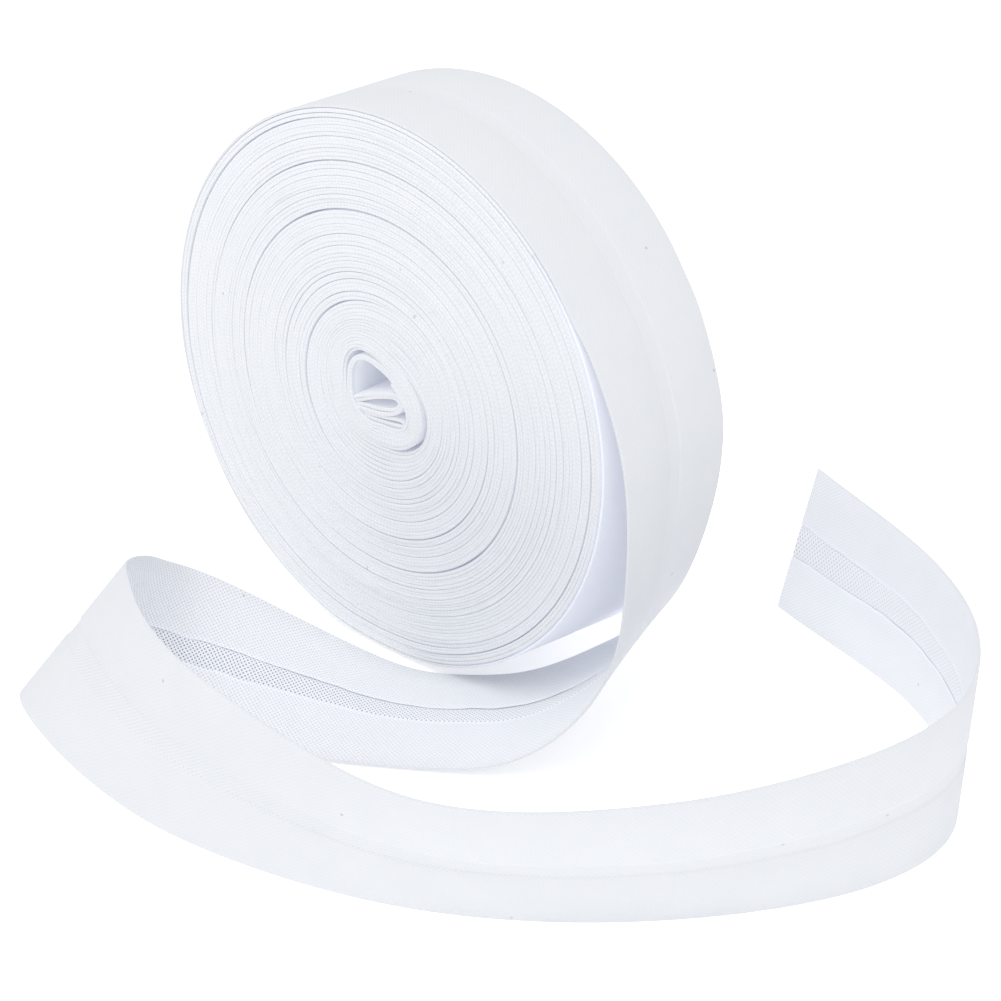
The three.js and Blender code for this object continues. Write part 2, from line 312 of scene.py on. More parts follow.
class TapeLooks(bpy.types.PropertyGroup):
    """Colours of the cloth and of the floor, and where the camera looks."""

    cloth: StringProperty(name="Cloth", description="sRGB hex of the thread tops", default="#f5f7fa")
    # The colour of the painted shade in the hollows and openings of the weave.
    shade: StringProperty(
        name="Between threads", description="sRGB hex of the weave's hollows", default="#888da1"
    )
    # The colour of the cloth's painted glow, standing in for light passed through it.
    glow: StringProperty(
        name="Passed light", description="sRGB hex of light through cloth", default="#dadcf3"
    )
    floor: StringProperty(name="Floor", description="sRGB hex of the floor", default="#fcfcfd")
    aim: FloatVectorProperty(
        name="Camera aim",
        description="Point the camera looks at",
        default=(0.0142, 0.0, 0.0271),
        unit="LENGTH",
    )


# Curves and frames along the tape


def catmull_rom(points, count):
    """Centripetal Catmull-Rom through the points, with the same number of steps a row."""
    points = np.asarray(points, float)
    before = 2 * points[0] - points[1]
    after = 2 * points[-1] - points[-2]
    held = np.vstack([before, points, after])
    out = []
    for row in range(len(points) - 1):
        p0, p1, p2, p3 = held[row : row + 4]
        spans = ((p0, p1), (p1, p2), (p2, p3))
        d0, d1, d2 = (max(np.linalg.norm(b - a) ** 0.5, 1e-6) for a, b in spans)
        t1 = ((p1 - p0) / d0 - (p2 - p0) / (d0 + d1) + (p2 - p1) / d1) * d1
        t2 = ((p2 - p1) / d1 - (p3 - p1) / (d1 + d2) + (p3 - p2) / d2) * d1
        t = np.arange(count)[:, None] / count
        out.append(
            p1 + t1 * t + (3 * (p2 - p1) - 2 * t1 - t2) * t**2 + (2 * (p1 - p2) + t1 + t2) * t**3
        )
    return np.vstack(out + [points[-1:]])


def smoothed(values, reach):
    """A running average over some steps to each side, which leaves both ends in place."""
    weights = np.hanning(2 * reach + 3)[1:-1]
    weights /= weights.sum()
    start = 2 * values[:1] - values[reach:0:-1]
    end = 2 * values[-1:] - values[-2 : -reach - 2 : -1]
    held = np.vstack([start, values, end])
    return np.stack([np.convolve(column, weights, "valid") for column in held.T], axis=-1)


def unit(vectors):
    """The vectors, each one unit long."""
    return vectors / np.linalg.norm(vectors, axis=-1, keepdims=True)


def resampled(line, others, step):
    """The line and the arrays that go with it, at equal steps along the line."""
    run = np.concatenate([[0.0], np.cumsum(np.linalg.norm(np.diff(line, axis=0), axis=1))])
    count = max(int(round(run[-1] / step)), 2)
    at = np.linspace(0.0, run[-1], count + 1)
    found = [
        np.stack([np.interp(at, run, column) for column in array.T], axis=-1) for array in (line, *others)
    ]
    return at, found


def read_rows(rows, key, at, scale=1.0):
    """One column of a table whose rows lie along the tape, read at other distances."""
    return np.interp(at, [row["along"] * MM for row in rows], [row[key] * scale for row in rows])


def round_the_roll(degrees, radius):
    """Places at those angles and distances from the roll's axis, as x and z."""
    turn = np.radians(degrees)
    return radius * np.cos(turn), AXIS_HEIGHT + radius * np.sin(turn)


def outermost_radius(sizes):
    """The radius on which the outermost turn is laid out, just under its outer skin."""
    return ROLL_RADIUS - LINE_DEPTH * sizes.cloth


def tape_stations(near, far):
    """Stations along the loose tape: run, near edge, across and outer side, all arrays."""
    middle = (near + far) / 2
    run, (middle, near, far) = resampled(middle, (near, far), STATION_STEP)
    across = unit(far - near)
    along = unit(np.gradient(middle, axis=0))
    return run, middle - across * TAPE_WIDTH / 2, across, unit(np.cross(along, across))


def loose_edges(radius):
    """Near and far edges of the loose tape, from its last rows on the roll to the cut end."""
    near, far = [], []
    for row in range(ROLL_ROWS):
        x, z = round_the_roll(LEAVE_ANGLE - row * ROLL_ROW_STEP, radius)
        near.append((x, -TAPE_WIDTH / 2, z))
        far.append((x, TAPE_WIDTH / 2, z))
    for row in TAPE_ROWS:
        foot = np.array(row["near"])
        near.append(foot)
        far.append(foot + unit(np.array(row["across"])) * TAPE_WIDTH)
    return catmull_rom(near, POINTS_PER_ROW), catmull_rom(far, POINTS_PER_ROW)


# Meshes

# Edges that turn by more degrees than this are shaded sharp.
SHARP_ANGLE = 55


def swept(name, stations, section, cloth, material):
    """A closed strip: at each station, the section's points as across and height.

    cloth holds each point's place across the unfolded cloth, and one more value for the
    seam that closes the ring.
    """
    run, near, across, outer = stations
    count, points = section.shape[:2]
    places = (
        near[:, None] + across[:, None] * section[..., :1] + outer[:, None] * section[..., 1:2]
    ).reshape(-1, 3)
    station, corner = np.meshgrid(np.arange(count - 1), np.arange(points), indexing="ij")
    following = (corner + 1) % points
    a = station * points + corner
    b = station * points + following
    quads = np.stack([a, b, b + points, a + points], axis=-1).reshape(-1, 4)
    faces = quads.tolist()
    faces.append(list(range(points))[::-1])
    faces.append([(count - 1) * points + corner for corner in range(points)])
    mesh = bpy.data.meshes.new(name)
    mesh.from_pydata(places.tolist(), [], faces)
    u = np.stack([run[station], run[station], run[station + 1], run[station + 1]], axis=-1)
    v = np.stack([cloth[corner], cloth[corner + 1], cloth[corner + 1], cloth[corner]], axis=-1)
    pairs = np.stack([u, v], axis=-1).reshape(-1, 2)
    ends = [np.stack([section[end, :, 1], cloth[:-1]], axis=-1) for end in (0, -1)]
    pairs = np.vstack([pairs, ends[0][::-1], ends[1]])
    layer = mesh.uv_layers.new(name="cloth")
    layer.data.foreach_set("uv", pairs.astype(np.float32).ravel())
    return finished(name, mesh, material)


def finished(name, mesh, material):
    """The mesh as a shown object that rides on the roll, smooth but for its cut edges."""
    mesh.materials.append(material)
    mesh.validate()
    mesh.shade_smooth()
    mesh.set_sharp_from_angle(angle=math.radians(SHARP_ANGLE))
    piece = bpy.data.objects.new(name, mesh)
    bpy.context.scene.collection.objects.link(piece)
    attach(piece, "root")
    return piece


# Materials

# The cloth's pattern, in metres: from one bend of a wandering thread to the next, from one
# paler or darker patch to the next, from one slub to the next, and how high threads stand.
THREAD_WANDER = 2.4 * MM
TONE_PATCHES = 7 * MM
SLUB_SPACING = 26 * MM
THREAD_RELIEF = 0.05 * MM
# A slub's core and its soft rim, as shares of the spacing.
SLUB_CORE, SLUB_RIM = 0.006, 0.011
# How much of a thread's height is its own round top and how much the swell of a crossing,
# and how near a top the cloth looks closed, without painted shade, and how far from it open,
# with the painted shade of an opening at its darkest.
OWN_TOP, CROSSING = 0.55, 0.45
CLOSED, OPEN = 0.86, 0.55
# How much slubs and slow patches darken the cloth, and how much a painted highlight on a
# raised thread lightens it.
SLUB_TONE, PATCH_TONE, RAISED_TONE = 0.32, 0.05, -0.4
# The depths under a turn's edge between which its painted glow grows to its most.
GLOW_FROM, GLOW_TO = 0.05 * MM, 0.7 * MM


def linear(code):
    """An sRGB hex value as linear red, green and blue."""
    values = [int(code[start : start + 2], 16) / 255 for start in (1, 3, 5)]
    return [v / 12.92 if v <= 0.04045 else ((v + 0.055) / 1.055) ** 2.4 for v in values]


def add_node(tree, kind, settings=None, inputs=None):
    """A node with its settings. Each input is a value, or the node or socket that feeds it."""
    node = tree.nodes.new(kind)
    for key, value in (settings or {}).items():
        setattr(node, key, value)
    for key, value in (inputs or {}).items():
        if isinstance(value, bpy.types.Node):
            value = next(socket for socket in value.outputs if socket.enabled)
        if isinstance(value, bpy.types.NodeSocket):
            tree.links.new(value, node.inputs[key])
        else:
            node.inputs[key].default_value = value
    return node


def bias_weave(tree, place, spacing):
    """Plain weave lying at 45 degrees to the tape: its height, and how near a thread's top."""
    uneven = add_node(
        tree,
        "ShaderNodeTexNoise",
        {"noise_dimensions": "2D"},
        {"Vector": place, "Scale": 1 / THREAD_WANDER, "Detail": 1.0},
    )
    straight = add_node(
        tree,
        "ShaderNodeMapping",
        inputs={"Vector": place, "Rotation": (0.0, 0.0, math.radians(45)), "Scale": (1 / spacing,) * 3},
    )
    threads = add_node(
        tree,
        "ShaderNodeVectorMath",
        {"operation": "MULTIPLY_ADD"},
        {0: uneven, 1: (0.5,) * 3, 2: straight},
    )
    part = add_node(tree, "ShaderNodeVectorMath", {"operation": "FRACTION"}, {0: threads})
    off = add_node(
        tree,
        "ShaderNodeVectorMath",
        {"operation": "MULTIPLY_ADD"},
        {0: part, 1: (2.0,) * 3, 2: (-1.0,) * 3},
    )
    fall = add_node(tree, "ShaderNodeVectorMath", {"operation": "MULTIPLY"}, {0: off, 1: off})
    rounds = add_node(tree, "ShaderNodeVectorMath", {"operation": "SUBTRACT"}, {0: (1.0,) * 3, 1: fall})
    warp, weft, _ = add_node(tree, "ShaderNodeSeparateXYZ", inputs={0: rounds}).outputs
    cell = add_node(tree, "ShaderNodeVectorMath", {"operation": "FLOOR"}, {0: threads})
    count = add_node(
        tree, "ShaderNodeVectorMath", {"operation": "DOT_PRODUCT"}, {0: cell, 1: (1.0, 1.0, 0.0)}
    )
    over = add_node(tree, "ShaderNodeMath", {"operation": "PINGPONG"}, {0: count, 1: 1.0})
    top = add_node(
        tree, "ShaderNodeMix", {"data_type": "FLOAT"}, {"Factor": over, "A": warp, "B": weft}
    )
    both = add_node(tree, "ShaderNodeMath", {"operation": "MULTIPLY"}, {0: warp, 1: weft})
    swell = add_node(tree, "ShaderNodeMath", {"operation": "MULTIPLY"}, {0: both, 1: CROSSING})
    height = add_node(
        tree, "ShaderNodeMath", {"operation": "MULTIPLY_ADD"}, {0: top, 1: OWN_TOP, 2: swell}
    )
    nearest = add_node(tree, "ShaderNodeMath", {"operation": "MAXIMUM"}, {0: warp, 1: weft})
    return height, nearest


def woven_cotton(name, looks, spacing, painted_shade_scale, contrast, relief, by_place, scattered):
    """White cotton sheeting, cut on the bias: matt, with painted faint blue shade in its hollows.

    The fine diagonal weave breaks up the light, and slow changes and a few tiny slubs
    keep it from looking like plastic. contrast is how dark the painted shade in the
    openings between its threads is, which is much darker where the cloth is a single
    open layer, and by_place says that it varies along the tape. The colours are scaled
    down more on one side than on another, as painted shade. The cloth also glows, as
    painted light standing in for light that thin white cloth passes on: scattered is
    how much it glows deep between the wound turns, and what the outermost turn and the
    raw edges add to that is stored on the mesh.
    """
    material = bpy.data.materials.new(name)
    material.use_nodes = True
    tree = material.node_tree
    tree.nodes.clear()
    place = add_node(tree, "ShaderNodeUVMap", {"uv_map": "cloth"})
    height, nearest = bias_weave(tree, place, spacing)
    patches = add_node(
        tree,
        "ShaderNodeTexNoise",
        {"noise_dimensions": "2D"},
        {"Vector": place, "Scale": 1 / TONE_PATCHES, "Detail": 3.0, "Roughness": 0.6},
    )
    slubs = add_node(
        tree,
        "ShaderNodeTexVoronoi",
        {"voronoi_dimensions": "2D"},
        {"Vector": place, "Scale": 1 / SLUB_SPACING},
    )
    slub = add_node(
        tree,
        "ShaderNodeMapRange",
        inputs={
            "Value": slubs,
            "From Min": SLUB_CORE,
            "From Max": SLUB_RIM,
            "To Min": SLUB_TONE,
            "To Max": 0.0,
        },
    )
    # Painted shade in the openings between the threads, darkest farthest from a thread's top.
    hollow = add_node(
        tree,
        "ShaderNodeMapRange",
        {"interpolation_type": "SMOOTHSTEP"},
        {"Value": nearest, "From Min": CLOSED, "From Max": OPEN, "To Min": 0.0, "To Max": 1.0},
    )
    shown = 1.0
    if by_place:
        shown = add_node(tree, "ShaderNodeAttribute", {"attribute_name": "open_weave_shade"}).outputs["Fac"]
    # A painted highlight on the raised threads.
    raised = RAISED_TONE * relief
    weave = add_node(
        tree, "ShaderNodeMath", {"operation": "MULTIPLY_ADD"}, {0: height, 1: raised, 2: hollow}
    )
    strength = add_node(tree, "ShaderNodeMath", {"operation": "MULTIPLY"}, {0: shown, 1: contrast})
    depth = add_node(
        tree, "ShaderNodeMath", {"operation": "MULTIPLY_ADD"}, {0: weave, 1: strength, 2: slub}
    )
    depth = add_node(
        tree, "ShaderNodeMath", {"operation": "MULTIPLY_ADD"}, {0: patches, 1: PATCH_TONE, 2: depth}
    )
    # Both colours are scaled down by side of the cloth, as painted shade.
    tops, shade = (
        (*(painted_shade_scale * part for part in linear(code)), 1.0) for code in (looks.cloth, looks.shade)
    )
    colour = add_node(
        tree, "ShaderNodeMix", {"data_type": "RGBA"}, {"Factor": depth, "A": tops, "B": shade}
    )
    rise = add_node(tree, "ShaderNodeMath", {"operation": "MULTIPLY"}, {0: shown, 1: relief})
    bump = add_node(
        tree, "ShaderNodeBump", inputs={"Strength": rise, "Distance": THREAD_RELIEF, "Height": height}
    )
    # A painted glow that grows in from the tape's edges, deep between the wound turns.
    across = add_node(tree, "ShaderNodeSeparateXYZ", inputs={0: place}).outputs["Y"]
    inwards = add_node(
        tree, "ShaderNodeMath", {"operation": "PINGPONG"}, {0: across, 1: TAPE_WIDTH / 2}
    )
    deep = add_node(
        tree,
        "ShaderNodeMapRange",
        {"interpolation_type": "SMOOTHSTEP"},
        {
            "Value": inwards,
            "From Min": GLOW_FROM,
            "From Max": GLOW_TO,
            "To Min": 0.0,
            "To Max": scattered,
        },
    )
    # More painted glow, kept on the mesh: under the leaving tape, along the raw edges and on the outer
    # turn's inner side.
    passed = add_node(tree, "ShaderNodeAttribute", {"attribute_name": "painted_glow"}).outputs["Fac"]
    glow = add_node(tree, "ShaderNodeMath", {"operation": "ADD"}, {0: passed, 1: deep})
    surface = add_node(
        tree,
        "ShaderNodeBsdfPrincipled",
        inputs={
            "Base Color": colour,
            "Roughness": 0.88,
            "Specular IOR Level": 0.25,
            "Normal": bump,
            "Emission Color": (*linear(looks.glow), 1.0),
            "Emission Strength": glow,
        },
    )
    add_node(tree, "ShaderNodeOutputMaterial", inputs={"Surface": surface})
    # The glow is too faint to light other things, and taking its faces for lamps is slow.
    material.cycles.emission_sampling = "NONE"
    return material


def opal_glass(looks):
    """A lit table's opal glass under the roll: matt and plain, so that hardly any shade shows."""
    material = bpy.data.materials.new("opal_glass")
    material.use_nodes = True
    tree = material.node_tree
    surface = tree.nodes["Principled BSDF"]
    surface.inputs["Base Color"].default_value = (*linear(looks.floor), 1.0)
    surface.inputs["Roughness"].default_value = 0.9
    surface.inputs["Specular IOR Level"].default_value = 0.1
    surface.inputs["Emission Color"].default_value = (1.0, 1.0, 1.0, 1.0)
    surface.inputs["Emission Strength"].default_value = 0.27
    return material


# The cloth's looks between the turns and on each side of the tape. It is one cloth: its colours are
# scaled down by side as painted shade, darkest on the outer side, contrast sets the painted shade in
# the weave's openings and scattered the painted glow deep between the turns.
CLOTHS = {
    "bias_cotton_wound": {
        "painted_shade_scale": 0.93, "contrast": 0.06, "relief": 0.16, "by_place": False, "scattered": 0.11
    },
    "bias_cotton_outside": {
        "painted_shade_scale": 0.845, "contrast": 0.05, "relief": 0.18, "by_place": False, "scattered": 0.0
    },
    "bias_cotton_inside": {
        "painted_shade_scale": 0.94, "contrast": 0.34, "relief": 0.4, "by_place": True, "scattered": 0.0
    },
    "bias_cotton_single": {
        "painted_shade_scale": 0.93, "contrast": 1.0, "relief": 0.4, "by_place": True, "scattered": 0.0
    },
    "bias_cotton_single_outside": {
        "painted_shade_scale": 0.845, "contrast": 0.16, "relief": 0.25, "by_place": True, "scattered": 0.0
    },
}


def cloth_material(name):
    """The named cloth material, made once."""
    scene = bpy.context.scene
    found = bpy.data.materials.get(name)
    return found or woven_cotton(name, scene.tape_looks, scene.tape_sizes.thread, **CLOTHS[name])


# The winding


def window(degrees, middle, spread):
    """1 at the middle angle, falling smoothly to 0 at the spread to either side."""
    off = np.abs((degrees - middle + 180.0) % 360.0 - 180.0)
    return np.where(off < spread, 0.5 + 0.5 * np.cos(np.pi * np.clip(off / spread, 0.0, 1.0)), 0.0)


def innermost_round_radius():
    """The mean radius of the turn at which the winding becomes round."""
    return np.mean([row["round"] for row in CORE_TURNS]) * MM


def turn_radii(sizes):
    """The mean radius of each round turn, from the outside in, with uneven spacing."""
    rng = np.random.default_rng(sizes.seed)
    uneven = 1.0 + SPACING["varies"] * rng.standard_normal(sizes.turns - CORE_TURN_PLACES["round"])
    spacing = np.clip(uneven, SPACING["least"], SPACING["most"])
    fall = np.concatenate([[0.0], np.cumsum(spacing)])
    outer, inner = outermost_radius(sizes), innermost_round_radius()
    return outer - (outer - inner) * fall / fall[-1]


def packed_radius(sizes, turn, degrees):
    """The radius at a turn and an angle when no turn stands off from the next."""
    radii = turn_radii(sizes)
    radius = np.interp(turn, np.arange(len(radii)), radii)
    angles = np.array([row["angle"] for row in CORE_TURNS], float)
    left = sizes.turns - turn
    shapes = []
    for key in CORE_TURN_PLACES:
        ring = np.array([row[key] for row in CORE_TURNS]) * MM
        shapes.append(smooth_ring(degrees, angles, ring))
    places = list(CORE_TURN_PLACES.values())
    core = shapes[0]
    for inner, outer, a, b in zip(shapes, shapes[1:], places, places[1:]):
        part = np.clip((left - a) / (b - a), 0.0, 1.0)
        core = np.where(left > a, inner + (outer - inner) * part, core)
    past_core = left - CORE_TURN_PLACES["round"]
    fade = np.exp(-np.clip(past_core, 0.0, None) / CORE_SHAPE_FADE)
    return np.where(past_core > 0, radius + fade * (shapes[-1] - innermost_round_radius()), core)


def smooth_ring(degrees, angles, values):
    """Values given at angles, as a smooth closed curve read at other angles."""
    turn = np.radians(angles)
    result = np.full_like(degrees, values.mean(), dtype=float)
    at = np.radians(degrees)
    for wave in range(1, 6):
        result += 2 * np.mean(values * np.cos(wave * turn)) * np.cos(wave * at)
        result += 2 * np.mean(values * np.sin(wave * turn)) * np.sin(wave * at)
    return result


def beyond(turn, where, middle):
    """0 before a place in the winding and 1 past it. The step lies opposite the middle angle."""
    opposite = ((middle + 180.0 - LEAVE_ANGLE) / 360.0) % 1.0
    where = round(where - opposite) + opposite
    return 1.0 / (1.0 + np.exp(-np.clip((turn - where) / PARTING_TURNS, -40, 40)))


def parted(turn, degrees, slack, where, fade):
    """How far a turn is drawn in by one slack place that lies outside it."""
    inside = np.clip(turn - where, 0.0, None)
    most = slack["gap"] * MM * window(degrees, slack["middle"], slack["spread"])
    return most * beyond(turn, where, slack["middle"]) * np.exp(-inside / fade)


def winding(sizes, past):
    """Where the wound tape runs: x, z and the room it has, at angles past the start.

    past counts backwards along the tape, in degrees round the roll from where the
    outer turn leaves it, so it grows towards the core.
    """
    turn = past / 360.0
    degrees = LEAVE_ANGLE + past
    radius = packed_radius(sizes, turn, degrees)
    room = (packed_radius(sizes, turn - 1, degrees) - packed_radius(sizes, turn + 1, degrees)) / 2
    room = np.clip(room, TURN_ROOM["least"] * MM, TURN_ROOM["most"] * MM)
    room = np.where(turn > sizes.turns - 1, TURN_ROOM["innermost"] * MM, room)
    radii = turn_radii(sizes)
    order = np.arange(len(radii))
    drawn_in = np.zeros_like(radius)
    for ring in SLACK_RINGS:
        where = np.interp(ring["radius"] * MM, radii[::-1], order[::-1])
        drawn_in += parted(turn, degrees, ring, where, SLACK_FADE_TURNS)
    for ring in CORE_GAPS:
        drawn_in += parted(turn, degrees, ring, sizes.turns - ring["turn"], CORE_FADE_TURNS)
    flat = window(degrees, FLAT_SPOT["middle"], FLAT_SPOT["spread"])
    flat = flat * np.exp(-turn / FLAT_SPOT["turns"])
    x, z = round_the_roll(degrees, radius - drawn_in - FLAT_SPOT["most"] * MM * flat)
    return x, z, room


def side_shift(sizes, past):
    """How far each turn stands in from the showing face and the back face."""
    rng = np.random.default_rng(sizes.seed + 2)
    turn = past / 360.0
    count = sizes.turns + 3
    own = np.interp(turn, np.arange(count), rng.normal(0.0, SIDE_SHIFTS["own"], count))
    knots = np.arange(0, count + SLOW_TURNS, SLOW_TURNS)
    slow = np.interp(turn, knots, rng.normal(0.0, SIDE_SHIFTS["slow"], len(knots)))
    knots = np.arange(0.0, past[-1] + 2 * WAVE_DEGREES, WAVE_DEGREES)
    wavy = np.interp(past, knots, rng.normal(0.0, SIDE_SHIFTS["wavy"], len(knots)))
    sunk = np.zeros_like(turn)
    for ring in CORE_GAPS:
        first, last = (sizes.turns - ring["turn"] + step for step in ring["sunk"])
        part = beyond(turn, first, ring["middle"]) - beyond(turn, last, ring["middle"])
        sunk += ring["depth"] * part * window(LEAVE_ANGLE + past, ring["middle"], ring["spread"])
    return (own + slow + wavy + sunk) * MM


def turn_stations(sizes, first, last):
    """Stations along the wound tape between two turns past the leaving point, and the room.

    They run outwards, as the loose tape does: run, near edge, across and outer side.
    """
    start, end = 360.0 * first, 360.0 * last
    count = int(round((end - start) / 360.0 * sizes.sides)) + 1
    past = np.linspace(start, end, count)
    x, z, room = winding(sizes, past)
    middle = np.stack([x, np.zeros(count), z], axis=-1)
    run = np.concatenate([[0.0], np.cumsum(np.linalg.norm(np.diff(middle, axis=0), axis=1))])
    along = unit(-np.gradient(middle, axis=0))
    middle[:, 1] = side_shift(sizes, past)
    across = np.broadcast_to(np.array([0.0, 1.0, 0.0]), middle.shape)
    near = middle - across * TAPE_WIDTH / 2
    outer = unit(np.cross(along, across))
    bulge = window(LEAVE_ANGLE + past, FAR_EDGE_BULGE["middle"], FAR_EDGE_BULGE["spread"])
    bulge = bulge * np.exp(-np.clip(past / 360.0 - 1.0, 0.0, None) / FAR_EDGE_BULGE["turns"])
    across = unit(across * TAPE_WIDTH + outer * (FAR_EDGE_BULGE["most"] * MM * bulge)[:, None])
    outer = unit(np.cross(along, across))
    return (-run[::-1], near[::-1], across[::-1], outer[::-1]), room[::-1]


def wound_section(thick):
    """A wound turn's sections, one a station: flat, with both folded edges rounded."""
    half = 0.5 * np.asarray(thick, float)[:, None]
    across = np.array([0.11, 0.035, 0.0, 0.0, 0.035, 0.11]) * MM
    height = np.array([-1.0, -0.84, -0.4, 0.4, 0.84, 1.0])
    across = np.concatenate([across, TAPE_WIDTH - across])[::-1]
    height = np.concatenate([height, height[::-1]])[::-1]
    section = np.stack([np.broadcast_to(across, (len(half), len(across))), half * height], axis=-1)
    edge = np.array([-2.0, -1.0, -0.3, 0.3, 1.0, 2.0]) * 0.1 * MM
    cloth = np.concatenate([edge, TAPE_WIDTH - edge[::-1]])[::-1]
    return section, np.append(cloth, cloth[0])


class TAPE_OT_wound_turns(bpy.types.Operator):
    """Adds the wound turns under the outermost one, in a few bands"""

    bl_idname = "tape.wound_turns"
    bl_label = "Wound turns"

    def execute(self, context):
        sizes = context.scene.tape_sizes
        material = cloth_material("bias_cotton_wound")
        ends = (*BAND_STARTS[1:], sizes.turns)
        for number, (first, last) in enumerate(zip(BAND_STARTS, ends), start=1):
            stations, room = turn_stations(sizes, first, last)
            section, cloth = wound_section(ROOM_FILLED * room)
            piece = swept(f"turns_{number}", stations, section, cloth, material)
            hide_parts("wound_roll")
        return {"FINISHED"}


class TAPE_OT_core_folds(bpy.types.Operator):
    """Adds the folds at the tape's inner end, which fill the core"""

    bl_idname = "tape.core_folds"
    bl_label = "Core folds"

    def execute(self, context):
        sizes = context.scene.tape_sizes
        material = cloth_material("bias_cotton_wound")
        for number, points in enumerate(CORE_FOLDS, start=1):
            line = [(x * MM, 0.0, AXIS_HEIGHT + z * MM) for x, z in points]
            line = smoothed(catmull_rom(line, POINTS_PER_FOLD_ROW), CORE_FOLD_REACH)
            run, (line,) = resampled(line, (), CORE_FOLD_STEP * MM)
            across = np.broadcast_to(np.array([0.0, 1.0, 0.0]), line.shape)
            along = unit(np.gradient(line, axis=0))
            outer = unit(np.cross(along, across))
            near = line - across * (TAPE_WIDTH / 2 - CORE_FOLD_SET_IN[number - 1] * MM)
            section, cloth = wound_section(np.full(len(run), CORE_FOLD_THICKNESS * MM))
            piece = swept(f"core_fold_{number}", (run, near, across, outer), section, cloth, material)
        return {"FINISHED"}


# The outer turn and the loose tape


def evened(line, reach):
    """One row of values, smoothed."""
    return smoothed(line[:, None], reach)[:, 0]


def raw_edge(side, past_roll):
    """How far across the tape one flap's raw edge lies, at distances along the loose tape."""
    return evened(read_rows(FLAP_ROWS, side, past_roll, MM), RAW_EDGE_REACH)


def base_places(near, far, bend):
    """Places across the tape from fold to fold, with close ones at the raw edges' steps."""
    step = (0.35, 0.7, 1.0)
    return [
        bend,
        near / 2,
        near,
        *(near + STEP_REACH * part for part in step),
        (near + far) / 2,
        *(far - STEP_REACH * part for part in reversed(step)),
        far,
        (far + TAPE_WIDTH) / 2,
        TAPE_WIDTH - bend,
    ]


def by_station(rows, count):
    """Rows of one value all along or of one value a station, as stations by rows."""
    return np.stack([np.broadcast_to(row, (count,)) for row in rows], axis=-1)


def folded_section(sizes, near_raw, far_raw, near_lift, far_lift, dip_share):
    """The folded cloth's closed section at every station, with both of its skins.

    near_raw and far_raw are where the flaps' raw edges lie across the tape, one a
    station, and the lifts are how far they stand off the base. The single layer
    between them sinks in by a share of its depth. The rows go round the section from
    the near raw edge, over the outer skin to the far raw edge, and back along the
    inner skin. Each has its place across the unfolded cloth, its kind of cloth, and
    whether it gets the painted glow of a raw edge.
    """
    bend = sizes.cloth + LAYER_GAP
    near_line, far_line = (evened(raw, BASE_REACH) for raw in (near_raw, far_raw))
    base = base_places(sizes.near_flap, TAPE_WIDTH - sizes.far_flap, bend)
    placed = base_places(near_line, far_line, bend)
    # The rows of the base right under the two raw edges.
    near_row, far_row = 2, 10
    dip = [0.0, 0.0, 0.0, 0.35, 0.85, 1.0, 1.0, 1.0, 0.85, 0.35, 0.0, 0.0, 0.0]
    dip = np.array(dip) * SINGLE_LAYER_DIP
    # A flap's rows, from its raw edge to its fold: how far out each lies, how much of the
    # lift it takes, and how much of its thickness is worn away.
    flap = np.array([1.0, 0.94, 0.86, 0.7, 0.4])
    rise = np.array([1.0, 0.72, 0.42, 0.1, 0.0])
    worn = np.array([0.55, 0.2, 0.0, 0.0, 0.0]) * sizes.cloth
    turns = np.radians([-60.0, -25.0, 25.0, 60.0])
    rows = []

    def add(across, height, place, kind, lit=0.0):
        rows.append((across, height, place, kind, lit))

    def flap_rows(raw, lift, height, sign, order, thinned=0.0):
        for index in order:
            across = bend + (raw - bend) * flap[index]
            level = height - lift * rise[index] + thinned * worn[index]
            # A raw edge's own row gets a painted glow.
            lit = float(index == 0)
            if sign > 0:
                add(across, level, -across, "inside", lit)
            else:
                add(TAPE_WIDTH - across, level, TAPE_WIDTH + across, "inside", lit)

    def fold_rows(radius, sign, order, last="plain"):
        for turn in order:
            across = bend - radius * math.cos(turn)
            height = radius * math.sin(turn)
            kind = last if turn == order[-1] else "plain"
            if sign > 0:
                add(across, height, height, kind)
            else:
                add(TAPE_WIDTH - across, height, TAPE_WIDTH - height, kind)

    def base_rows(height, kinds, order, lit=()):
        for index in order:
            level = height - dip[index] * dip_share
            add(placed[index], level, base[index], kinds[index], float(index in lit))

    far_width = TAPE_WIDTH - far_raw
    count = len(base)
    outer_kinds = ["single_outside" if near_row <= row < far_row else "plain" for row in range(count)]
    inner_kinds = ["single" if near_row < row <= far_row else "plain" for row in range(count)]
    # The base rows beside the raw edges get a painted glow too.
    beside_raw = (near_row, near_row + 1, far_row - 1, far_row)
    flap_rows(near_raw, near_lift, -bend, 1, range(5), 1.0)
    fold_rows(bend, 1, turns)
    base_rows(bend, outer_kinds, range(count))
    fold_rows(bend, -1, turns[::-1], "inside")
    flap_rows(far_width, far_lift, -bend, -1, reversed(range(5)), 1.0)
    flap_rows(far_width, far_lift, -LAYER_GAP, -1, range(5))
    fold_rows(LAYER_GAP, -1, turns[:1])
    base_rows(LAYER_GAP, inner_kinds, reversed(range(count)), beside_raw)
    fold_rows(LAYER_GAP, 1, turns[:1])
    flap_rows(near_raw, near_lift, -LAYER_GAP, 1, reversed(range(5)))
    across, heights, places, kinds, lit = zip(*rows)
    stations = len(near_raw)
    section = np.stack([by_station(across, stations), by_station(heights, stations)], axis=-1)
    places = [float(np.mean(place)) for place in places]
    return section, np.array([*places, places[0]]), kinds, np.array(lit)


